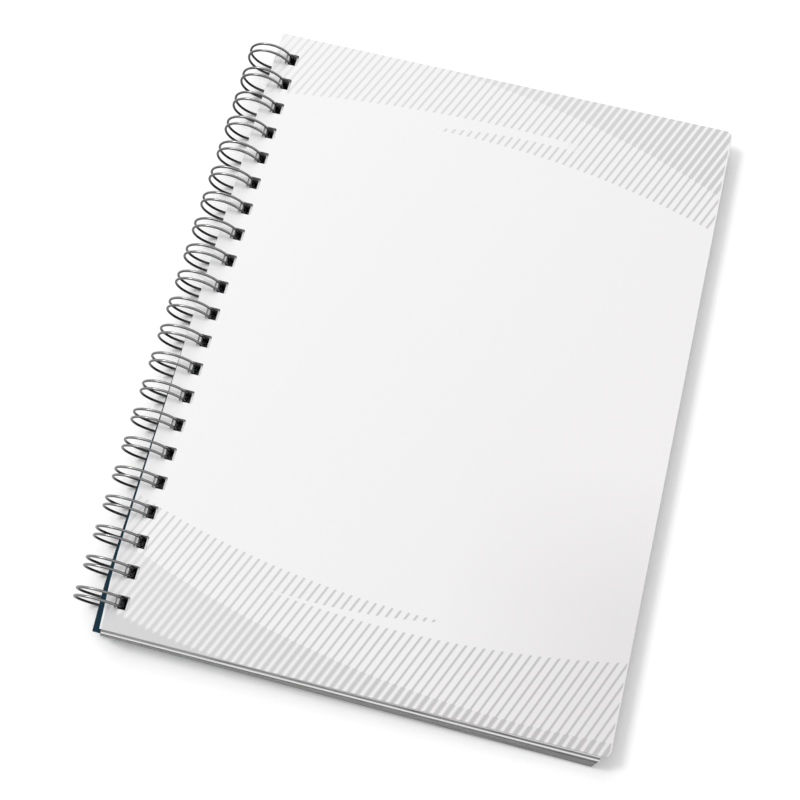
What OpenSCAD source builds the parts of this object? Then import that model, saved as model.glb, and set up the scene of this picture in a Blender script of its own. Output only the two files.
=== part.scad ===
// Wire-bound notebook: two card covers and a block of pages, punched along
// the spine and held by one length of twin-loop wire. It lies closed on a
// table, propped up along the spine by its rings.

/* [Covers] */
// Width of each cover, spine edge to fore edge
cover_w = 208; // [150:0.5:240]
// Height of each cover
cover_h = 278.5; // [275:0.5:300]
// Thickness of the cover card
cover_t = 0.5; // [0.3:0.05:0.8]
// Radius of the covers' fore corners
corner_r = 3; // [1:0.5:12]

/* [Pages] */
// Width of the pages
page_w = 203; // [140:0.5:235]
// Height of the pages
page_h = 279.4; // [275:0.5:300]
// Thickness of all the pages pressed together
pages_t = 8.4; // [6:0.1:8.6]
// Bundles of sheets that the fanned edges show
bundle_count = 14; // [6:1:20]
// Distance of the pages' spine edge inside the front cover's
page_inset = 1.7; // [0.5:0.1:2.5]

/* [Binding wire] */
// Twin loops along the spine
loop_count = 21; // [5:1:21]
// Distance from one twin loop to the next
loop_pitch = 12.7; // [12:0.1:13]
// Distance between the two strands of a loop, middle to middle
strand_gap = 3.46; // [3:0.02:3.6]
// Thickness of the wire
wire_d = 1.1; // [0.8:0.05:1.2]
// Diameter of the rings, measured at the middle of the wire
ring_d = 19.7; // [19.2:0.1:22]
// Bend radius where a strand turns into the bridge to the next loop
base_bend_r = 1.6; // [1.2:0.1:2]
// Cut end left at the first and the last loop
end_stub = 1.2; // [0.5:0.1:3]

/* [Punching] */
// Side of each square hole
hole_side = 5.4; // [5.3:0.1:6]
// Radius of the holes' corners
hole_r = 0.6; // [0.3:0.1:1]
// Distance from a cover's spine edge to the middle of its holes
hole_edge = 7.86; // [7.5:0.02:9]

/* [How it lies] */
// Height of the rings' middle above the middle of the closed stack
ring_rise = 1.1; // [0.6:0.1:1.4]
// Distance of the rings' middle outside the front cover's spine edge
ring_out = 2.34; // [2:0.02:2.6]
// Gap between a cover and the pages
slip_gap = 0.3; // [0.25:0.05:0.4]
// Turn of the back cover in the slack of its holes
back_turn = 0.65; // [0:0.05:0.7]
// Turn of the top page against the front cover
page_turn = 0.14; // [0:0.02:0.3]
// Further turn that the pages fan out by, top to bottom
page_fan = 0.49; // [0:0.01:0.6]
// Slide of the pages along the spine, towards the foot
page_slide = 0.7; // [0:0.1:1]
// Further slide of the lowest page, towards the spine and the foot alike
page_creep = 0.4; // [0:0.1:0.6]
// Slide of the front cover along the spine, towards the head
front_slide = 0.2; // [0:0.1:0.4]
// Gap left between a loop's closed tip and the base of its own strands
seam_gap = 0.3; // [0.2:0.05:0.6]

/* [Hidden] */
$fn = 64;
ring_r = ring_d / 2;
wire_r = wire_d / 2;
outer_r = ring_r + wire_r;
inner_r = ring_r - wire_r;
slack = 1;

// Heights of the closed stack, counted from the rings' middle
stack_t = 2 * cover_t + 2 * slip_gap + pages_t;
front_top = stack_t / 2 - ring_rise;
pages_top = front_top - cover_t - slip_gap;
pages_base = pages_top - pages_t;
back_top = pages_base - slip_gap;
back_base = back_top - cover_t;
bundle_t = pages_t / bundle_count;

// Where the wire crosses a layer: between the ring's inner edge at the
// layer's far face and its outer edge at the near one
function reach(r, z) = sqrt(r * r - z * z);
front_hole_x = hole_edge + ring_out;
back_hole_x = (reach(inner_r, back_base) + reach(outer_r, back_top)) / 2;
page_hole_x = (min(reach(inner_r, pages_base), reach(inner_r, pages_top)) + outer_r) / 2;

// Tip of a loop: it stops clear of the two base bends that it points at
tip_r = strand_gap / 2;
bend_y = tip_r + base_bend_r;
tip_x = sqrt(pow(bend_y + wire_d + seam_gap, 2) - bend_y * bend_y);
angle_step = 0.01;
tip_angle = round((asin(tip_x / ring_r) - 90) / angle_step) * angle_step;
base_angle = 270;
bridge_l = loop_pitch - 2 * bend_y;
row_l = (loop_count - 1) * loop_pitch;

// The table touches the rings and the fore edge of the back cover
fore_x = back_hole_x - hole_edge + cover_w;
lie_angle = asin(outer_r / norm([fore_x, back_base])) - atan(-back_base / fore_x);

// The origin is under the middle of the whole, on the table
foot_y = -page_h / 2 - page_slide - page_creep - page_w * sin(page_turn + page_fan);
head_y = cover_h / 2 + front_slide;
middle_x = (ring_out + cover_w - outer_r) / 2;
middle_y = (foot_y + head_y) / 2;

// Sets the notebook down: from axes through the rings' middle to the table
module lie() {
    translate([-middle_x, -middle_y, outer_r])
        rotate([0, lie_angle, 0])
            children();
}

// Repeats a thing at each loop
module at_loops() {
    for (k = [0 : loop_count - 1])
        translate([0, k * loop_pitch - row_l / 2, 0])
            children();
}

// Carries a thing from the X axis round the ring to an angle
module round_ring(angle) {
    rotate([0, -angle, 0])
        translate([ring_r, 0, 0])
            children();
}

// Part of a ring of wire in the XY plane, starting on the X axis. The seam of
// its round section is turned, so that one piece's seam runs on in the next.
module bent_wire(bend_r, angle, seam) {
    rotate_extrude(angle = angle)
        translate([bend_r, 0])
            rotate(seam)
                circle(wire_r);
}

module straight_wire(l) {
    rotate([0, 90, 0])
        rotate([90, 0, 0])
            cylinder(r = wire_r, h = l, center = true);
}

// One strand: round the ring from the closed tip to the base
module strand() {
    rotate([90, 0, 0])
        rotate([0, 0, tip_angle])
            bent_wire(ring_r, base_angle - tip_angle, -90);
}

// The closed tip joins the two strands in the plane that touches the ring
module closed_tip() {
    round_ring(tip_angle)
        rotate([0, 90, 0])
            rotate([0, 0, -90])
                bent_wire(tip_r, 180, 0);
}

// The base bend turns a strand along the spine, in the plane that touches
// the ring at its lowest point
module base_bend() {
    round_ring(base_angle)
        translate([0, bend_y, 0])
            rotate([0, -90, 0])
                rotate([0, 0, -90])
                    bent_wire(base_bend_r, 90, 180);
}

module half_loop() {
    translate([0, tip_r, 0])
        strand();
    base_bend();
}

module twin_loop() {
    half_loop();
    mirror([0, 1, 0])
        half_loop();
    closed_tip();
}

// Straight wire on the line of the bridges, its middle at y
module base_wire(y, l) {
    translate([0, y, 0])
        round_ring(base_angle)
            translate([0, 0, base_bend_r])
                straight_wire(l);
}

module wire_binding() {
    color("silver")
        lie() {
            at_loops()
                twin_loop();
            for (k = [1 : loop_count - 1])
                base_wire((k - 0.5) * loop_pitch - row_l / 2, bridge_l);
            for (side = [-1, 1])
                base_wire(side * (row_l / 2 + bend_y + end_stub / 2), end_stub);
        }
}

// Rectangle from the Y axis outwards, its far corners rounded
module fore_rounded(w, h, r) {
    translate([0, -h / 2])
        square([w - r, h]);
    translate([0, r - h / 2])
        square([w, h - 2 * r]);
    for (side = [-1, 1])
        translate([w - r, side * (h / 2 - r)])
            circle(r);
}

// Square hole with rounded corners, about the origin
module punched_hole() {
    square([hole_side, hole_side - 2 * hole_r], center = true);
    square([hole_side - 2 * hole_r, hole_side], center = true);
    for (x = [-1, 1], y = [-1, 1])
        translate([x, y] * (hole_side / 2 - hole_r))
            circle(hole_r);
}

// Cover card with its row of holes on the Y axis
module cover_card(slide) {
    linear_extrude(cover_t)
        difference() {
            translate([-hole_edge, slide])
                fore_rounded(cover_w, cover_h, corner_r);
            at_loops()
                punched_hole();
        }
}

module front_cover() {
    color("white")
        lie()
            translate([front_hole_x, 0, front_top - cover_t])
                cover_card(front_slide);
}

module back_cover() {
    color([0.07, 0.2, 0.26])
        lie()
            translate([back_hole_x, 0, back_base])
                rotate([0, 0, -back_turn])
                    cover_card(-page_slide);
}

// The pages, each bundle turned and slid a little further than the one above
module fanned_pages() {
    for (k = [0 : bundle_count - 1])
        let (depth = k / (bundle_count - 1))
            translate([page_hole_x, 0, pages_top - (k + 1) * bundle_t])
                rotate([0, 0, -page_turn - depth * page_fan])
                    translate([ring_out + page_inset - page_hole_x, -page_h / 2 - page_slide, 0]
                              - depth * [page_creep, page_creep, 0])
                        cube([page_w, page_h, bundle_t]);
}

module page_block() {
    color("ivory")
        lie()
            difference() {
                fanned_pages();
                at_loops()
                    translate([page_hole_x, 0, pages_base - slack])
                        linear_extrude(pages_t + 2 * slack)
                            punched_hole();
            }
}

wire_binding();
front_cover();
page_block();
back_cover();
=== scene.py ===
import math

import bpy
import numpy as np
from mathutils import Matrix, Vector
from mathutils.geometry import tessellate_polygon


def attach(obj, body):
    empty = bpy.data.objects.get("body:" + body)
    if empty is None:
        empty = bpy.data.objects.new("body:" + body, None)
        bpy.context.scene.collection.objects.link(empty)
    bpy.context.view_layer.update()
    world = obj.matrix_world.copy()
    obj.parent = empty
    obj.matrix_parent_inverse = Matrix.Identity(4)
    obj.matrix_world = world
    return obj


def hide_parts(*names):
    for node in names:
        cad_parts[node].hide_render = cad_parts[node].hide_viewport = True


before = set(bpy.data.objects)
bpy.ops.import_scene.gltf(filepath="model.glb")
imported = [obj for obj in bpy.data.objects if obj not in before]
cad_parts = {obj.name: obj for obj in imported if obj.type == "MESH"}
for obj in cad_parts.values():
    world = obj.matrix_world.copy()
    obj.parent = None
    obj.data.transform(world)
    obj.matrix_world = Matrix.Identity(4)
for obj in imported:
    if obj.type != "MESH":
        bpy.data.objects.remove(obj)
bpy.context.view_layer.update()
scene = bpy.context.scene
print("frame loaded, nodes:", ", ".join(sorted(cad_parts)))


# How the closed book lies: turned about the spine until its fore edge meets the table.
# Book millimetres count from the rings' middle: x to the fore edge, y to the head, z up.
pose = {
    "tiltDegrees": 1.18474,
    "ringMiddle": (-99.97, 1.791, 10.4),  # in the frame, millimetres
}
tilt = math.radians(pose["tiltDegrees"])
millimetres = 1000  # to the metre


# frame = turn about Y by the tilt, then move to the rings' middle; millimetres to metres
def toFrame(points):
    points = np.asarray(points, float)
    x, y, z = points[..., 0], points[..., 1], points[..., 2]
    turnedX = x * math.cos(tilt) + z * math.sin(tilt)
    turnedZ = z * math.cos(tilt) - x * math.sin(tilt)
    return (np.stack([turnedX, y, turnedZ], -1) + pose["ringMiddle"]) / millimetres


# shader maths as plain expressions: one socket, whose operators each add a Math node
class Value:
    def __init__(self, finish, socket):
        self.finish = finish
        self.socket = socket

    def math(self, operation, *others, clamp=False):
        settings = {"operation": operation, "use_clamp": clamp}
        return self.finish.node("ShaderNodeMath", settings, [self, *others]).out(0)

    # the same where the plain number comes first
    def mathAfter(self, first, operation):
        return self.finish.node("ShaderNodeMath", {"operation": operation}, [first, self]).out(0)

    def __add__(self, other):
        return self.math("ADD", other)

    def __radd__(self, other):
        return self.math("ADD", other)

    def __sub__(self, other):
        return self.math("SUBTRACT", other)

    def __rsub__(self, other):
        return self.mathAfter(other, "SUBTRACT")

    def __mul__(self, other):
        return self.math("MULTIPLY", other)

    def __rmul__(self, other):
        return self.math("MULTIPLY", other)

    def __truediv__(self, other):
        return self.math("DIVIDE", other)

    def __rtruediv__(self, other):
        return self.mathAfter(other, "DIVIDE")

    def __pow__(self, other):
        return self.math("POWER", other)

    def __rpow__(self, other):
        return self.mathAfter(other, "POWER")

    def __abs__(self):
        return self.math("ABSOLUTE")

    def most(self, other):
        return self.math("MAXIMUM", other)

    def wrap(self):
        return self.math("FRACT")

    def root(self):
        return self.math("SQRT")

    def cosine(self):
        return self.math("COSINE")

    # kept between 0 and 1
    def held(self):
        return self.math("ADD", 0.0, clamp=True)

    # 0 below the edge, 1 above it, with a ramp as wide as soft
    def above(self, edge, soft):
        return ((self - edge) / soft + 0.5).held()


# a node whose outputs are read by number or name
class Placed:
    def __init__(self, finish, node):
        self.finish = finish
        self.node = node

    def out(self, key):
        return Value(self.finish, self.node.outputs[key])


# one material, or the world
class Finish:
    def __init__(self, holder, output="ShaderNodeOutputMaterial"):
        self.holder = holder
        holder.use_nodes = True
        self.tree = holder.node_tree
        self.tree.nodes.clear()
        self.output = self.tree.nodes.new(output)

    # any node, from its type, its settings and the values or links of its sockets
    def node(self, kind, settings=None, inputs=None):
        node = self.tree.nodes.new(kind)
        for key, value in (settings or {}).items():
            setattr(node, key, value)
        pairs = inputs.items() if isinstance(inputs, dict) else enumerate(inputs or [])
        for key, value in pairs:
            if isinstance(value, Value):
                self.tree.links.new(value.socket, node.inputs[key])
            else:
                node.inputs[key].default_value = value
        return Placed(self, node)

    # object coordinates in book millimetres, counted from a point of the book
    def bookPlace(self, start=(0, 0, 0)):
        x, y, z = pose["ringMiddle"]
        middle = (x * math.cos(tilt) - z * math.sin(tilt), y, z * math.cos(tilt) + x * math.sin(tilt))
        return self.node("ShaderNodeMapping", {"vector_type": "POINT"}, {
            "Vector": self.node("ShaderNodeTexCoord").out("Object"),
            "Location": [-m - s for m, s in zip(middle, start)],
            "Rotation": (0, -tilt, 0),
            "Scale": (millimetres,) * 3}).out("Vector")

    # 1 for rays that show the background: seen straight, in gloss or through glass
    def shows(self):
        path = self.node("ShaderNodeLightPath")
        return path.out("Is Camera Ray").most(path.out("Is Glossy Ray")).most(path.out("Is Transmission Ray"))

    def split(self, vector):
        parts = self.node("ShaderNodeSeparateXYZ", None, [vector])
        return parts.out(0), parts.out(1), parts.out(2)

    def join(self, x, y, z):
        return self.node("ShaderNodeCombineXYZ", None, [x, y, z]).out(0)

    # over millimetres, scale is the number of features to one
    def noise(self, vector, scale, detail=2.0, rough=0.5):
        return self.node("ShaderNodeTexNoise", None, {
            "Vector": vector, "Scale": scale, "Detail": detail, "Roughness": rough}).out(0)

    # what sheetSolid noted on each wall: see cutMarks
    def cutMark(self):
        return self.node("ShaderNodeAttribute", {"attribute_name": "cut"}).out("Fac")

    # colour a where share is 0, colour b where it is 1; a Mix node's colours are its sockets 6 and 7
    def blendColours(self, share, a, b):
        a, b = [colour if isinstance(colour, Value) else (*colour, 1) for colour in (a, b)]
        return self.node("ShaderNodeMix", {"data_type": "RGBA"}, {0: share, 6: a, 7: b}).out(2)

    def bump(self, height, distance, strength):
        return self.node("ShaderNodeBump", None, {
            "Height": height, "Distance": distance, "Strength": strength}).out("Normal")

    def principled(self, **sockets):
        names = {"colour": "Base Color", "rough": "Roughness", "metal": "Metallic",
                 "specular": "Specular IOR Level", "normal": "Normal"}
        values = {names[key]: value for key, value in sockets.items()}
        self.finishWith(self.node("ShaderNodeBsdfPrincipled", None, values))

    def finishWith(self, shader):
        self.tree.links.new(shader.out(0).socket, self.output.inputs["Surface"])


def newFinish(name):
    return Finish(bpy.data.materials.new(name))


# a mesh from points, faces and one number or pair for each face corner
def makePiece(name, points, faces, finish, corners, smooth=None):
    mesh = bpy.data.meshes.new(name)
    mesh.from_pydata(toFrame(points).tolist(), [], faces)
    for key, values in corners.items():
        if values.ndim == 2:
            mesh.uv_layers.new(name=key).data.foreach_set("uv", values.ravel())
        else:
            mesh.attributes.new(key, "FLOAT", "CORNER").data.foreach_set("value", values)
    if smooth is not None:
        mesh.polygons.foreach_set("use_smooth", smooth)
    mesh.update()
    mesh.materials.append(finish.holder)
    piece = bpy.data.objects.new(name, mesh)
    scene.collection.objects.link(piece)
    return piece


# punching, the same in the covers and the pages, in millimetres
punching = {
    "side": 5.4,
    "radius": 0.6,
    "loops": 21,
    "pitch": 12.7,
    "cell": 6.5,  # how far past the holes' middles the faces round them reach
}
loopMiddles = (np.arange(punching["loops"]) - (punching["loops"] - 1) / 2) * punching["pitch"]
cellEnds = (loopMiddles[1:] + loopMiddles[:-1]) / 2  # each hole gets a cell of the sheet to itself
cutMarks = {"edge": 0.5, "hole": 1.0}  # what the attribute "cut" says of a wall; it is 0 on a sheet's faces
wallMark = (cutMarks["edge"] / 2, 0.2)  # above it lie all walls, with the softness of that edge
holeMark = ((cutMarks["edge"] + cutMarks["hole"]) / 2, 0.2)  # above it lie the walls of holes


# a rectangle's outline, counter-clockwise, with one radius for each corner from foot and spine onwards
def roundedOutline(x0, x1, y0, y1, radii, inset, steps, smallest=0.02):
    radii = np.maximum(np.array(radii, float) - inset, smallest)
    centreX = np.array([x0, x1, x1, x0]) + np.array([1, -1, -1, 1]) * (radii + inset)
    centreY = np.array([y0, y0, y1, y1]) + np.array([1, 1, -1, -1]) * (radii + inset)
    turn = np.radians(np.array([180, 270, 0, 90])[:, None] + np.linspace(0, 90, steps))
    return np.stack([centreX[:, None] + radii[:, None] * np.cos(turn),
                     centreY[:, None] + radii[:, None] * np.sin(turn)], -1).reshape(-1, 2)


# the outline of a sheet, with further points on its fore and spine edges where the cells meet
def sheetOutline(x0, x1, y0, y1, radii, inset, steps):
    loop = roundedOutline(x0, x1, y0, y1, radii, inset, steps)
    fore = np.column_stack([np.full(len(cellEnds), x1 - inset), cellEnds])
    spine = np.column_stack([np.full(len(cellEnds), x0 + inset), cellEnds[::-1]])
    return np.concatenate([loop[:2 * steps], fore, loop[2 * steps:], spine])


# square holes with rounded corners, one for each twin loop
def punchedHoles(x, y, inset, steps):
    half = punching["side"] / 2
    radii = [punching["radius"]] * 4
    return [roundedOutline(x - half, x + half, middle - half, middle + half, radii, -inset, steps)
            for middle in loopMiddles + y]


# turns points about a line through (x, 0) that stands square to the sheets
def turnFlat(points, x, degrees):
    angle = math.radians(degrees)
    across, up = points[:, 0] - x, points[:, 1]
    return np.column_stack([x + across * math.cos(angle) - up * math.sin(angle),
                            across * math.sin(angle) + up * math.cos(angle)])


# The borders that a face is cut into, as numbers into its outline, which has steps points at each
# corner; inner is the number of the first point where the cells meet past the holes. Each cell has
# a border round its hole, with the hole's row, and a plain one beyond it. The end cells stay whole.
def cellBorders(steps, inner):
    count = len(cellEnds)
    fore, head, spine = 2 * steps, 2 * steps + count, 4 * steps + count
    borders = []
    for row in range(count + 1):
        foot, top = row == 0, row == count
        lowSpine = list(range(steps)) if foot else [spine + count - row]
        lowInner = [] if foot else [inner + row - 1]
        lowFore = list(range(steps, 2 * steps)) if foot else [fore + row - 1]
        highFore = list(range(head, head + steps)) if top else [fore + row]
        highInner = [] if top else [inner + row]
        highSpine = list(range(head + steps, spine)) if top else [spine + count - 1 - row]
        if foot or top:
            borders.append((lowSpine + lowInner + lowFore + highFore + highInner + highSpine, row))
        else:
            borders.append((lowSpine + lowInner + highInner + highSpine, row))
            borders.append((lowInner + lowFore + highFore + highInner, None))
    return borders


# A punched sheet: levels give (height, inset) from its lower face to its upper one.
# outline(inset), holes(inset) and inner() return loops; a hole's loop grows by the inset.
# Gives the points, the faces and each face corner's cut mark.
def sheetSolid(levels, outline, holes, inner, steps):
    points, sizes = [], []
    for height, inset in levels:
        loops = [outline(inset)] + [hole[::-1] for hole in holes(inset)]
        sizes = [len(loop) for loop in loops]
        points += [np.column_stack([loop, np.full(len(loop), height)]) for loop in loops]
    for height in (levels[0][0], levels[-1][0]):
        points.append(np.column_stack([inner(), np.full(len(cellEnds), height)]))
    points = np.concatenate(points)

    starts = np.cumsum([0] + sizes)
    total = starts[-1]  # points in one level
    here = np.arange(total)
    onward = np.concatenate([np.roll(np.arange(size), -1) + start for size, start in zip(sizes, starts)])
    band = np.stack([here, onward, onward + total, here + total], 1)
    sides = np.concatenate([band + level * total for level in range(len(levels) - 1)])

    caps = []
    afterLevels = len(levels) * total
    upper = (afterLevels - total, afterLevels + len(cellEnds), 1)
    for base, middle, facing in ((0, afterLevels, -1), upper):
        for border, row in cellBorders(steps, middle - base):
            numbers = [np.array(border) + base]
            if row is not None:
                numbers.append(np.arange(starts[row + 1], starts[row + 2]) + base)
            flat = [[Vector(point) for point in points[loop].tolist()] for loop in numbers]
            cap = np.concatenate(numbers)[np.array(tessellate_polygon(flat))]
            edgeA, edgeB = points[cap[:, 1]] - points[cap[:, 0]], points[cap[:, 2]] - points[cap[:, 0]]
            wrong = np.cross(edgeA, edgeB)[:, 2] * facing < 0
            cap[wrong] = cap[wrong][:, ::-1]
            caps.append(cap)
    caps = np.concatenate(caps)
    wall = np.tile(np.where(here < sizes[0], cutMarks["edge"], cutMarks["hole"]), len(levels) - 1)
    marks = np.concatenate([np.repeat(wall, band.shape[1]), np.zeros(caps.size)])
    return points, sides.tolist() + caps.tolist(), marks


# both covers, in millimetres
cardShape = {
    "width": 208.0,
    "height": 278.5,
    "spineRadius": 0.15,
    "foreRadius": 3.0,
    "bevel": 0.07,  # softens the cut edges
    "cornerSteps": 9,
    "holeSteps": 4,
}


# x and y of the spine corner at the foot
def cardCorner(card):
    return card["holeX"] - card["holeEdge"], card["slide"] - cardShape["height"] / 2


# the spine edge runs in a little towards the foot: by drawnIn times e to -(height / drawnLength) squared;
# only points within a millimetre of that edge move
def drawIn(loop, x0, foot, shape):
    share = np.exp(-((loop[:, 1] - foot) / shape["drawnLength"]) ** 2)
    loop[:, 0] += (loop[:, 0] < x0 + 1) * shape["drawnIn"] * share


# a cover: flat card with softened cut edges
def makeCard(name, card, finish):
    x0, y0 = cardCorner(card)
    holeX, turn = card["holeX"], card["turnDegrees"]
    bevel, steps = cardShape["bevel"], cardShape["cornerSteps"]
    radii = [cardShape[key] for key in ("spineRadius", "foreRadius", "foreRadius", "spineRadius")]
    y1 = card["slide"] + cardShape["height"] / 2
    base = card["top"] - card["thick"]
    levels = [(base, bevel), (base + bevel, 0.0), (card["top"] - bevel, 0.0), (card["top"], bevel)]

    def outline(inset):
        loop = sheetOutline(x0, x0 + cardShape["width"], y0, y1, radii, inset, steps)
        drawIn(loop, x0, y0, card)
        return turnFlat(loop, holeX, turn)

    def holes(inset):
        loops = punchedHoles(holeX, 0.0, inset, cardShape["holeSteps"])
        return [turnFlat(loop, holeX, turn) for loop in loops]

    def inner():
        line = np.column_stack([np.full(len(cellEnds), holeX + punching["cell"]), cellEnds])
        return turnFlat(line, holeX, turn)

    points, faces, marks = sheetSolid(levels, outline, holes, inner, steps)
    piece = makePiece(name, points, faces, finish, {"cut": marks})
    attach(piece, card["body"])
    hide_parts(card["node"])


# Front cover. Its card is placed in millimetres from the rings' middle, its print from the spine
# corner at the foot. A pair is an edge and how softly it fades, unless its note says otherwise.
frontCard = {
    "holeX": 10.2,
    "holeEdge": 7.86,  # spine edge to the holes' middles
    "top": 3.9,
    "thick": 0.5,
    "slide": 0.2,  # along the spine, to the head
    "turnDegrees": 0.0,
    "drawnIn": 2.2,
    "drawnLength": 16.2,
    "body": "front",
    "node": "front_cover",
    "slot": "front_card",
    # its card
    "white": (0.885, 0.88, 0.883),
    "mottled": 0.985,  # the white's darker patches, as a share of it
    "warm": (0.885, 0.866, 0.872),  # a trace of pink towards the fore edge
    "warmSlope": (0.004, -0.0012),  # share of it gained for each millimetre across and up
    "paintedCornerShade": (0.795, 0.78, 0.786),  # painted shade: the fore corner at the foot is darker
    "paintedCornerShadeStart": (125.0, 115.0),  # x and y where that begins
    "paintedCornerShadeReach": (75.0, 60.0),  # how far across and down it grows
    "bareCard": (0.80, 0.795, 0.79),  # the cut edges
    "bareDepth": (-0.06, 0.04),
    "punched": (0.12, 0.118, 0.12),  # painted shade on the walls of the holes
    "mottleScale": 0.35,
    "grainScale": 3.2,
    "rough": 0.42,
    "grainRough": 0.08,
    "specular": 0.35,
    "bump": 0.00001,
    "bumpStrength": 0.5,
    # its print
    "ink": (0.54, 0.53, 0.538),
    "inkGloss": 0.05,
    "pitch": 3.202,  # from one stripe to the next, square to them
    "leanDegrees": -23.7,  # which way the pitch runs
    "start": 0.70,  # where the first stripe's middle lies, in pitches
    "narrow": 0.28,  # stripe width as a share of the pitch
    "wide": 0.56,
    "narrowFade": 0.1,  # how far a narrow stripe's edge fades, in pitches
    "wideFade": 0.38,  # how much further a wide one's does at the spine edge
    "wideFadeSlope": -0.0016,
    "paleWider": 0.04,  # what the palest stripes gain in half their width
    # painted glare: the ink pales towards the head's spine corner, where the light falls brightest
    "strength": 0.66,  # of the ink, at the spine corner
    "strengthSlope": (0.002, -0.001),  # gained for each millimetre across and up
    "spineFade": 0.45,  # the ink's loss at the spine edge
    "spineFadeSlope": -0.035,
    "spineFadeFrom": (16.0, 12.0),  # height above the foot
    "margin": (0.6, 0.3),  # bare strip at the spine and fore edges
    "middle": (150.0, 1.0),  # parts the head's print from the foot's
    "headTailFrom": (80.5, 1.0),
    "headRightFrom": (141.0, 8.0),
    "footTailTo": (131.0, 1.0),
    "footLeftTo": (64.0, 8.0),
    "cornerTo": (62.0, 4.0),
    "cornerUpTo": (20.0, 1.0),
    "arcSoft": 0.35,
    "cornerArcSoft": 4.5,
    # arcs that bound the striped fields, each by its highest or lowest point and its radius;
    # a positive radius bulges to the head, a negative one to the foot
    "arcs": {
        "headFieldBase": (107.0, 256.4, 640.0),
        "headFieldStep": (40.0, 279.8, 430.0),
        "headTailBase": (88.0, 247.6, 386.0),
        "headTailTop": (125.0, 252.4, 270.0),
        "footFieldTop": (115.0, 27.8, -450.0),
        "footFieldStep": (172.0, 4.5, -480.0),
        "footTailTop": (130.0, 35.6, -417.0),
        "footTailBase": (83.0, 30.5, -270.0),
        "footCorner": (70.0, -1.8, -260.0),
    },
}


# one straight grating of stripes; the fields that the arcs bound switch it on or make it wider
def coverInk(x, y):
    card = frontCard

    # 1 on the head side of an arc, 0 on its foot side: distance from the arc's middle less its radius
    def headSide(name, soft=card["arcSoft"]):
        peakX, peakY, radius = card["arcs"][name]
        across, up = x - peakX, y - (peakY - radius)
        distance = (across * across + up * up).root()
        past = distance - radius if radius > 0 else -radius - distance
        return past.above(0.0, soft)

    upper = y.above(*card["middle"])
    lower = 1 - upper
    headTail = headSide("headTailBase") * (1 - headSide("headTailTop")) * x.above(*card["headTailFrom"])
    headRight = headSide("headTailBase") * x.above(*card["headRightFrom"])
    inHead = headSide("headFieldBase").most(headTail).most(headRight) * upper
    belowTail = 1 - headSide("footTailTop")
    footTail = belowTail * headSide("footTailBase") * (1 - x.above(*card["footTailTo"]))
    footLeft = belowTail * (1 - x.above(*card["footLeftTo"]))
    inFoot = (1 - headSide("footFieldTop")).most(footTail).most(footLeft) * lower
    wide = headSide("headFieldStep").most((1 - headSide("footFieldStep")) * lower)
    corner = 1 - headSide("footCorner", card["cornerArcSoft"])  # printed all over
    corner = corner * (1 - x.above(*card["cornerTo"])) * (1 - y.above(*card["cornerUpTo"]))

    # the print is palest at the head's spine corner, a painted glare where the light falls brightest, and it
    # fades towards the spine edge
    across, up = card["strengthSlope"]
    faded = (x * card["spineFadeSlope"] + card["spineFade"]).held() * y.above(*card["spineFadeFrom"])
    strength = (x * across + y * up + card["strength"]).held() * (1 - faded)

    lean = math.radians(card["leanDegrees"])
    along = (x * math.cos(lean) + y * math.sin(lean)) / card["pitch"]
    fromMiddle = abs((along - card["start"] + 0.5).wrap() - 0.5)  # 0 in a stripe's middle, 0.5 between two
    halfWidth = (wide * (card["wide"] - card["narrow"]) + card["narrow"]) / 2 + corner
    halfWidth = halfWidth + (1 - strength) * card["paleWider"]
    soft = wide * (x * card["wideFadeSlope"] + card["wideFade"]).held() + card["narrowFade"]
    stripe = 1 - fromMiddle.above(halfWidth, soft)

    # the bare margin follows the spine edge where that runs in: see drawIn
    drawn = math.e ** (y * y * (-1 / card["drawnLength"] ** 2)) * card["drawnIn"]
    edge, soften = card["margin"]
    inside = (x - drawn).above(edge, soften) * (1 - x.above(cardShape["width"] - edge, soften))
    return stripe * inHead.most(inFoot) * strength * inside


def makeCoverFinish():
    card = frontCard
    finish = newFinish("printedCard")
    place = finish.bookPlace((*cardCorner(card), card["top"]))
    x, y, z = finish.split(place)
    ink = coverInk(x, y)
    mottle = finish.noise(place, card["mottleScale"], detail=3.0)
    grain = finish.noise(place, card["grainScale"], detail=3.0, rough=0.6)

    darker = [part * card["mottled"] for part in card["white"]]
    colour = finish.blendColours(mottle, darker, card["white"])
    across, up = card["warmSlope"]
    colour = finish.blendColours((x * across + y * up).held(), colour, card["warm"])
    # painted shade that darkens the card towards the fore corner at the foot
    startX, startY = card["paintedCornerShadeStart"]
    reachX, reachY = card["paintedCornerShadeReach"]
    paintedCornerShade = ((x - startX) / reachX).held() * ((startY - y) / reachY).held()
    colour = finish.blendColours(paintedCornerShade, colour, card["paintedCornerShade"])
    colour = finish.blendColours(ink, colour, card["ink"])
    colour = finish.blendColours(z.above(*card["bareDepth"]), card["bareCard"], colour)
    # painted shade on the walls of the holes
    colour = finish.blendColours(finish.cutMark().above(*holeMark), colour, card["punched"])
    finish.principled(
        colour=colour,
        rough=grain * card["grainRough"] + card["rough"] - ink * card["inkGloss"],
        specular=card["specular"],
        normal=finish.bump(grain, card["bump"], card["bumpStrength"]))
    return finish


# back cover, in millimetres from the rings' middle
rearCard = {
    "holeX": 7.892,
    "holeEdge": 7.86,
    "top": -5.6,
    "thick": 0.5,
    "slide": -0.7,
    "turnDegrees": -0.65,
    "drawnIn": 1.3,
    "drawnLength": 12.0,
    "body": "back",
    "node": "back_cover",
    "slot": "back_card",
    "teal": (0.0015, 0.024, 0.045),
    "rubbed": (0.006, 0.040, 0.062),
    "rubbedGrain": 0.35,  # share of it in the grain and in the wide soft patches
    "rubbedPatches": 0.3,
    "grainScale": 2.6,
    "patchScale": 0.08,
    "rough": 0.5,
    "grainRough": 0.12,
    "specular": 0.1,
    "bump": 0.00001,
    "bumpStrength": 0.6,
}


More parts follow.
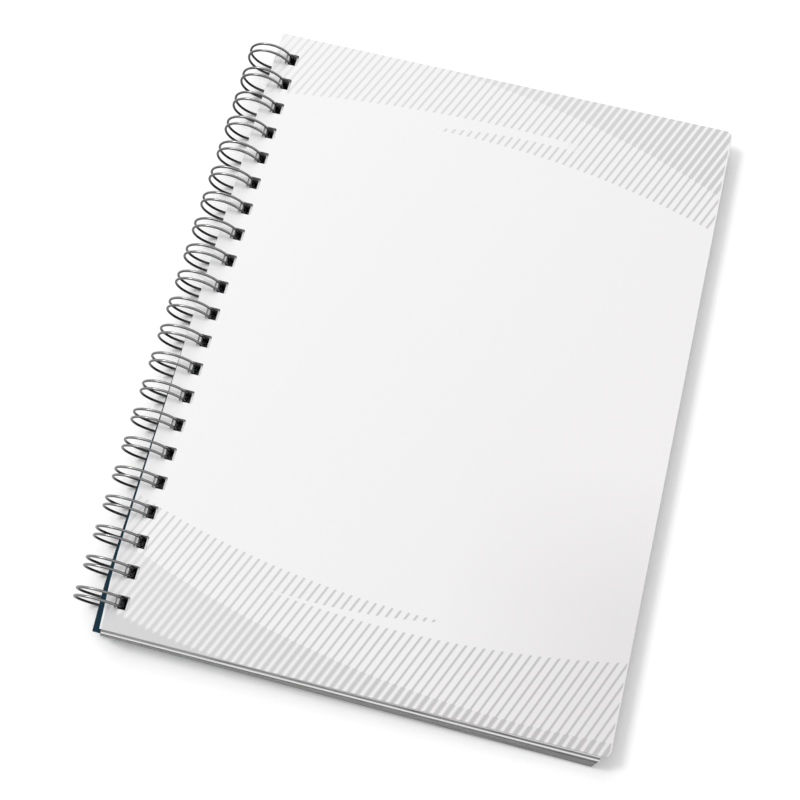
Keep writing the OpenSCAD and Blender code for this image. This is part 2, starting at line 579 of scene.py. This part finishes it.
def makeBackFinish():
    card = rearCard
    finish = newFinish("tealCard")
    place = finish.bookPlace()
    grain = finish.noise(place, card["grainScale"], detail=4.0, rough=0.6)
    patches = finish.noise(place, card["patchScale"])
    share = (grain * card["rubbedGrain"] + patches * card["rubbedPatches"]).held()
    finish.principled(
        colour=finish.blendColours(share, card["teal"], card["rubbed"]),
        rough=grain * card["grainRough"] + card["rough"],
        specular=card["specular"],
        normal=finish.bump(grain, card["bump"], card["bumpStrength"]))
    return finish


# Pages, in millimetres from the rings' middle. A depth is a share of the stack's, from the top;
# a pair is an edge and how softly it fades.
pageStack = {
    "width": 203.0,
    "height": 279.4,
    "spineX": 4.04,
    "holeX": 9.02,
    "top": 3.1,
    "thick": 8.4,
    "slide": 0.7,  # along the spine, to the foot
    "creep": 0.4,  # further slide of the lowest, to the spine and the foot alike
    "turnDegrees": 0.14,
    "fanDegrees": 0.49,  # further turn of the lowest
    "cornerRadius": 0.12,
    "drawnIn": 1.3,
    "drawnLength": 16.0,
    "cornerSteps": 2,
    "holeSteps": 3,
    # bundles of sheets
    "bundles": 32,
    "gap": 0.015,  # left between two of them
    "ragged": 0.2,  # how far they lie back from the foot edge, at most
    "raggedGroup": 4,  # this many slip alike
    "raggedAlike": 0.65,
    "raggedEnds": 6,  # the first and last sixth of the fan come flush again
    "holeShift": 0.06,
    # the first bundles lie back, are shorter and are pulled against the wire
    "topBundles": 5,
    "topBack": (1.3, 0.65),
    "topShort": 1.0,
    "wireInner": 9.3,  # radius of the rings' inside
    "wireGap": 0.12,
    "seed": 11,
    # paper
    "paper": (0.82, 0.815, 0.815),
    "paintedEdgeShade": (0.16, 0.157, 0.16),  # painted shade on the sheets' edges, with darker lines between sheets
    "shadeLeast": 0.38,
    "shadeLines": 0.3,
    "shadeBundles": 0.55,
    "bundleContrast": 2.4,
    # upright walls take this share less of the painted edge shade
    "wallsLighter": 0.5,
    "topFace": (0.008, 0.006),  # depth at which the top sheet ends and the edges begin
    "lastFace": (0.995, 0.003),
    "ledge": 0.156,  # depth of the one ledge that shows paper
    "ledgeHalf": (0.012, 0.006),
    "punched": (0.16, 0.16, 0.155),  # painted shade deep in the holes
    "punchedTop": 0.5,  # share of it at the top, and how fast it grows with depth
    "punchedSlope": 1.4,
    "sheets": 90,
    "lineWander": 3,  # in sheets
    "wanderScale": (0.02, 0.02, 0.4),
    "bundleScale": (0.004, 0.004, 1.1),
    "fibreScale": 6.0,
    "rough": 0.8,
    "fibreRough": 0.1,
    "specular": 0.2,
    "bump": 0.00003,
    "bumpStrength": 0.8,
    "lineBump": -0.6,
    "fibreBump": 0.15,
}


def makePageFinish():
    stack = pageStack
    finish = newFinish("paperEdges")
    place = finish.bookPlace()
    x, y, z = finish.split(place)

    def stretched(scale):
        return finish.noise(finish.join(x * scale[0], y * scale[1], z * scale[2]), 1.0)

    depth = (stack["top"] - z) / stack["thick"]
    layer = depth * stack["sheets"] + stretched(stack["wanderScale"]) * stack["lineWander"]
    line = abs(layer.wrap() - 0.5) * 2  # 1 in the gap between two sheets
    bundles = ((stretched(stack["bundleScale"]) - 0.5) * stack["bundleContrast"] + 0.5).held()
    # painted edge shade goes on all but the top sheet's face, the last one's back and the pale ledge
    isEdge = depth.above(*stack["topFace"]) * (1 - depth.above(*stack["lastFace"]))
    isEdge = isEdge * abs(depth - stack["ledge"]).above(*stack["ledgeHalf"])
    edgeShadeShare = (line ** 3 * stack["shadeLines"] + bundles * stack["shadeBundles"] + stack["shadeLeast"]).held()
    cut = finish.cutMark()
    edgeShadeShare = edgeShadeShare * isEdge * (1 - cut.above(*wallMark) * stack["wallsLighter"])
    colour = finish.blendColours(edgeShadeShare, stack["paper"], stack["paintedEdgeShade"])
    # painted shade in the holes, darker with depth
    punched = cut.above(*holeMark) * (depth * stack["punchedSlope"] + stack["punchedTop"]).held()
    colour = finish.blendColours(punched, colour, stack["punched"])
    fibre = finish.noise(place, stack["fibreScale"], detail=3.0, rough=0.6)
    height = line * isEdge * stack["lineBump"] + fibre * stack["fibreBump"]
    finish.principled(
        colour=colour,
        rough=fibre * stack["fibreRough"] + stack["rough"],
        specular=stack["specular"],
        normal=finish.bump(height, stack["bump"], stack["bumpStrength"]))
    return finish


# how far back each bundle's foot edge lies; the shift always runs inwards
def bundleShifts(rng, shown, onTop):
    stack, count, alike = pageStack, pageStack["bundles"], pageStack["raggedGroup"]
    group = np.repeat(rng.random(count // alike + 1), alike)[:count]
    mixed = stack["raggedAlike"] * group + (1 - stack["raggedAlike"]) * rng.random(count)
    ends = np.clip((1 - shown) * stack["raggedEnds"], 0, 1) * np.clip(shown * stack["raggedEnds"], 0, 1)
    shifts = stack["ragged"] * mixed * ends
    shifts[onTop] = np.linspace(*stack["topBack"], stack["topBundles"])
    return shifts


# the stack: flat bundles of sheets, each turned and slid a little further than the one above
def makePages(finish):
    stack = pageStack
    rng = np.random.default_rng(stack["seed"])
    count, firstShown = stack["bundles"], stack["topBundles"]
    onTop = np.arange(count) < firstShown
    shown = np.clip((np.arange(count) - firstShown) / (count - 1 - firstShown), 0, 1)  # how far down the fan
    shifts = bundleShifts(rng, shown, onTop)
    heights = stack["height"] - onTop * stack["topShort"]
    thick = stack["thick"] / count
    points, faces, marks, start = [], [], [], 0
    for index in range(count):
        spine = stack["spineX"] - stack["creep"] * shown[index]
        foot = shifts[index] - stack["height"] / 2 - stack["slide"] - stack["creep"] * shown[index]
        turn = -stack["turnDegrees"] - stack["fanDegrees"] * shown[index]
        shiftX, shiftY = rng.uniform(-stack["holeShift"], stack["holeShift"], 2)
        high = stack["top"] - index * thick
        levels = [(high - thick + stack["gap"], 0.0), (high, 0.0)]

        # pulled against the wire: the ring's inner edge at this height, less a gap, is the hole's wall
        holeX = stack["holeX"]
        if onTop[index]:
            ringX = math.sqrt(stack["wireInner"] ** 2 - (high - thick / 2) ** 2)
            holeX = ringX - stack["wireGap"] + punching["side"] / 2

        def outline(inset):
            radii = [stack["cornerRadius"]] * 4
            x1, y1 = spine + stack["width"], foot + heights[index]
            loop = sheetOutline(spine, x1, foot, y1, radii, inset, stack["cornerSteps"])
            drawIn(loop, spine, foot, stack)
            return turnFlat(loop, stack["holeX"], turn)

        def holes(inset):
            return punchedHoles(holeX + shiftX, shiftY, inset, stack["holeSteps"])

        def inner():
            line = np.column_stack([np.full(len(cellEnds), holeX + punching["cell"]), cellEnds])
            return turnFlat(line, stack["holeX"], turn)

        sheetPoints, sheetFaces, sheetMarks = sheetSolid(levels, outline, holes, inner, stack["cornerSteps"])
        points.append(sheetPoints)
        faces += [[corner + start for corner in face] for face in sheetFaces]
        marks.append(sheetMarks)
        start += len(sheetPoints)
    piece = makePiece("pageStack", np.concatenate(points), faces, finish, {"cut": np.concatenate(marks)})
    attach(piece, "block")
    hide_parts("page_block")


# Binding wire, in millimetres. Angles run round the rings from the fore edge's side, upwards.
bindingWire = {
    "ringRadius": 9.85,  # to the wire's middle
    "wireRadius": 0.55,
    "halfGap": 1.73,  # half the distance between a loop's two strands
    "baseBend": 1.6,
    "tipDegrees": -70.06,
    "baseDegrees": 270.0,
    "endStub": 1.2,
    "openDegrees": 1.6,  # loops differ by up to this much in how far they close
    "leanDegrees": 0.5,
    "leanOver": 70.0,  # degrees from the base within which the lean sets in
    "seed": 5,
    "sides": 16,  # of the wire's round section
    "strandSteps": 60,
    "bendSteps": 7,
    "tipSteps": 14,
    "closest": 0.01,  # points of the path nearer than this to the one before are dropped
    # metal
    # the bright colour serves the painted highlight and the drawing lines and patches, the dull one the
    # painted shade and the same lines and patches
    "brightAndPaintedHighlight": (0.30, 0.30, 0.304),
    "dullAndPaintedShade": (0.04, 0.04, 0.042),
    "paintedHighlightFrom": 0.68,  # cosine of the angle from the loops' outside at which the painted highlight starts
    "paintedHighlightSlope": 3.2,
    "paintedHighlightShare": 0.8,
    "drawnShare": 0.3,
    "patchShare": 0.4,
    "lessShare": 0.25,  # taken off the sum of the three
    "drawnAlong": 0.25,  # the drawing lines' noise for each millimetre along and each turn round
    "drawnAround": 9,
    "patchScale": 0.45,
    "speckScale": 7.0,
    "rough": 0.2,
    "drawnRough": 0.08,
    "speckRough": 0.05,
    "bump": 0.00001,
    "bumpStrength": 0.3,
    "drawnBump": 0.6,
}


# a painted highlight along the outside of the loops and painted shade along their flanks and inside; drawing
# lines run along the wire, soft dull patches lie across them
def makeWireFinish():
    wire = bindingWire
    finish = newFinish("silverWire")
    place = finish.bookPlace()
    run, around, _ = finish.split(finish.node("ShaderNodeUVMap", {"uv_map": "alongWire"}).out(0))
    lines = finish.join(run * wire["drawnAlong"], around * wire["drawnAround"], 0.0)
    drawn = finish.noise(lines, 1.0, detail=3.0, rough=0.6)
    patches = finish.noise(place, wire["patchScale"], detail=3.0, rough=0.6)
    speck = finish.noise(place, wire["speckScale"])
    # painted highlight along the loops' outside; the rest of the wire's round takes painted shade
    paintedHighlight = (((around * (2 * math.pi)).cosine() - wire["paintedHighlightFrom"]) * wire["paintedHighlightSlope"]).held()
    share = paintedHighlight * wire["paintedHighlightShare"] + drawn * wire["drawnShare"] + patches * wire["patchShare"]
    share = (share - wire["lessShare"]).held()
    height = drawn * wire["drawnBump"] + speck * (1 - wire["drawnBump"])
    finish.principled(
        colour=finish.blendColours(share, wire["dullAndPaintedShade"], wire["brightAndPaintedHighlight"]),
        metal=1.0,
        rough=drawn * wire["drawnRough"] + speck * wire["speckRough"] + wire["rough"],
        normal=finish.bump(height, wire["bump"], wire["bumpStrength"]))
    return finish


# The wire's middle line and the way out of the rings at each of its points. A strand is an arc of
# the ring, x = radius times cosine, z = radius times sine; a tip is half a circle and a base bend
# a quarter of one, both in the plane that touches the ring there.
def wirePath():
    wire = bindingWire
    ring, half, bend = wire["ringRadius"], wire["halfGap"], wire["baseBend"]
    rng = np.random.default_rng(wire["seed"])
    path, outward = [], []

    def add(x, y, z, away):
        path.append(np.stack(np.broadcast_arrays(x, y, z), -1).astype(float))
        outward.append(np.broadcast_to(np.stack(np.broadcast_arrays(*away), -1), path[-1].shape))

    down = (0.0, 0.0, -1.0)
    turn = np.radians(np.linspace(0, 90, wire["bendSteps"]))
    arc = np.linspace(0, math.pi, wire["tipSteps"])[1:-1]
    add(bend, loopMiddles[0] - half - bend - wire["endStub"], np.array([-ring]), down)
    for middle in loopMiddles:
        tip = wire["tipDegrees"] + rng.uniform(0, wire["openDegrees"])
        lean = math.sin(math.radians(rng.uniform(-1, 1) * wire["leanDegrees"]))
        add(bend * np.cos(turn), middle - half - bend + bend * np.sin(turn), -ring, down)
        degrees = np.linspace(wire["baseDegrees"], tip, wire["strandSteps"])
        free = np.clip((wire["baseDegrees"] - degrees) / wire["leanOver"], 0, 1)
        free = free * free * (3 - 2 * free)  # the base stays put, the rest of the loop leans
        angle = np.radians(degrees)
        x, z = ring * np.cos(angle), ring * np.sin(angle)
        sway = x * free * lean
        add(x, middle - half + sway, z, (np.cos(angle), 0.0, np.sin(angle)))
        outX, outZ = math.cos(angle[-1]), math.sin(angle[-1])
        tipX = ring * outX + half * np.sin(arc) * outZ
        tipZ = ring * outZ - half * np.sin(arc) * outX
        add(tipX, middle - half * np.cos(arc) + tipX * lean, tipZ, (outX, 0.0, outZ))
        back = angle[::-1]
        add(x[::-1], middle + half + sway[::-1], z[::-1], (np.cos(back), 0.0, np.sin(back)))
        add(bend * np.cos(turn[::-1]), middle + half + bend - bend * np.sin(turn[::-1]), -ring, down)
    add(bend, loopMiddles[-1] + half + bend + wire["endStub"], np.array([-ring]), down)

    path, outward = np.concatenate(path), np.concatenate(outward)
    fresh = np.ones(len(path), bool)
    fresh[1:] = np.linalg.norm(np.diff(path, axis=0), axis=1) > wire["closest"]
    return path[fresh], outward[fresh]


# a circle carried along the path, square to it
def makeWire(finish):
    wire = bindingWire
    path, outward = wirePath()
    along = np.gradient(path, axis=0)
    along /= np.linalg.norm(along, axis=1)[:, None]
    outward = outward - along * np.sum(outward * along, axis=1)[:, None]
    outward /= np.linalg.norm(outward, axis=1)[:, None]
    across = np.cross(along, outward)
    sides = wire["sides"]
    turn = np.linspace(0, 2 * math.pi, sides, endpoint=False)
    rim = np.cos(turn)[:, None] * outward[:, None] + np.sin(turn)[:, None] * across[:, None]
    points = (path[:, None] + wire["wireRadius"] * rim).reshape(-1, 3)

    row, side = np.meshgrid(np.arange(len(path) - 1), np.arange(sides), indexing="ij")
    row, side = row.ravel(), side.ravel()
    here, beside = row * sides + side, row * sides + (side + 1) % sides
    quads = np.stack([here, beside, beside + sides, here + sides], 1)
    ends = [list(range(sides))[::-1], list(range(len(points) - sides, len(points)))]

    # alongWire: millimetres along the wire, and turns round it from the rings' outside
    length = np.concatenate([[0], np.cumsum(np.linalg.norm(np.diff(path, axis=0), axis=1))])
    run = np.stack([length[row], length[row], length[row + 1], length[row + 1]], 1)
    around = np.stack([side, side + 1, side + 1, side], 1) / sides
    uv = np.concatenate([np.stack([run, around], -1).reshape(-1, 2), np.zeros((2 * sides, 2))])
    smooth = np.concatenate([np.ones(len(quads), bool), [False, False]])
    piece = makePiece("twinLoopWire", points, quads.tolist() + ends, finish, {"alongWire": uv}, smooth)
    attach(piece, "block")
    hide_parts("wire_binding")


makeCard("frontCard", frontCard, makeCoverFinish())
makeCard("rearCard", rearCard, makeBackFinish())
makePages(makePageFinish())
makeWire(makeWireFinish())
print("covers, pages and wire made")


# table, in metres
table = {
    "size": 6.0,
    "top": -0.0002,
    "colour": (0.97, 0.97, 0.97),
    "lift": 0.085,  # a faint glow, seen straight and in gloss, that sets the depth of the shadows
    # the glow stops under the book, so that its holes look dark: middle and half size of that field
    "underMiddle": (0.00175, 0.001),
    "underHalf": (0.09825, 0.135),
    "underSoft": 0.002,
}


def makeTable():
    half, high = table["size"] / 2, table["top"]
    mesh = bpy.data.meshes.new("table")
    corners = [(-half, -half, high), (half, -half, high), (half, half, high), (-half, half, high)]
    mesh.from_pydata(corners, [], [(0, 1, 2, 3)])
    top = bpy.data.objects.new("table", mesh)
    scene.collection.objects.link(top)
    finish = newFinish("paleTable")
    x, y, _ = finish.split(finish.node("ShaderNodeTexCoord").out("Object"))
    besideX, besideY = [
        abs(place - middle).above(reach, table["underSoft"])
        for place, middle, reach in zip((x, y), table["underMiddle"], table["underHalf"])]
    lifted = finish.shows() * (1 - (1 - besideX) * (1 - besideY))
    matt = finish.node("ShaderNodeBsdfDiffuse", None, {"Color": (*table["colour"], 1)})
    glow = finish.node("ShaderNodeEmission", None, {"Color": (1, 1, 1, 1), "Strength": table["lift"]})
    none = finish.node("ShaderNodeEmission", None, {"Color": (0, 0, 0, 1), "Strength": 0.0})
    shown = finish.node("ShaderNodeMixShader", None, [lifted, none.out(0), glow.out(0)])
    finish.finishWith(finish.node("ShaderNodeAddShader", None, [matt.out(0), shown.out(0)]))
    mesh.materials.append(finish.holder)


# square lamps that face the book: place and size in metres, power in watts
lamps = {
    "softKey": {"place": (-2.271, 0.609, 3.236), "size": 1.1, "watts": 62.0},
    "headFill": {"place": (-1.257, 2.363, 2.973), "size": 2.2, "watts": 31.0},
}
# strength of the light from straight above, and of the background that the camera sees
surround = {"overhead": 1.136, "backdrop": 1.0}


def makeLights():
    for name, lamp in lamps.items():
        light = bpy.data.lights.new(name, "AREA")
        light.shape = "SQUARE"
        light.size = lamp["size"]
        light.energy = lamp["watts"]
        turned = (-Vector(lamp["place"])).to_track_quat("-Z", "Y").to_matrix().to_4x4()
        holder = bpy.data.objects.new(name, light)
        scene.collection.objects.link(holder)
        holder.matrix_world = Matrix.Translation(lamp["place"]) @ turned

    # nothing comes from below, most from overhead; the background itself shows white
    scene.world = bpy.data.worlds.new("studio")
    room = Finish(scene.world, "ShaderNodeOutputWorld")
    height = room.split(room.node("ShaderNodeTexCoord").out("Generated"))[2].most(0.0)
    dome = height * height * surround["overhead"]
    strength = dome + (surround["backdrop"] - dome) * room.shows()
    room.finishWith(room.node("ShaderNodeBackground", None, {"Color": (1, 1, 1, 1), "Strength": strength}))


# the photograph's view: place in metres, lens and sensor in millimetres
camera = {
    "place": (0.0484626, -0.1877419, 0.5570344),
    "turnDegrees": (18.17862, 0.89354, 14.02184),
    "lens": 61.933,
    "sensor": 36,
    "nearest": 0.01,
}


def makeCamera():
    view = bpy.data.cameras.new("camera")
    view.lens = camera["lens"]
    view.sensor_width = camera["sensor"]
    view.clip_start = camera["nearest"]
    holder = bpy.data.objects.new("camera", view)
    holder.location = camera["place"]
    holder.rotation_euler = [math.radians(angle) for angle in camera["turnDegrees"]]
    scene.collection.objects.link(holder)
    scene.camera = holder


makeTable()
makeLights()
makeCamera()
scene.view_settings.view_transform = "Standard"
print("table, lights and camera set")
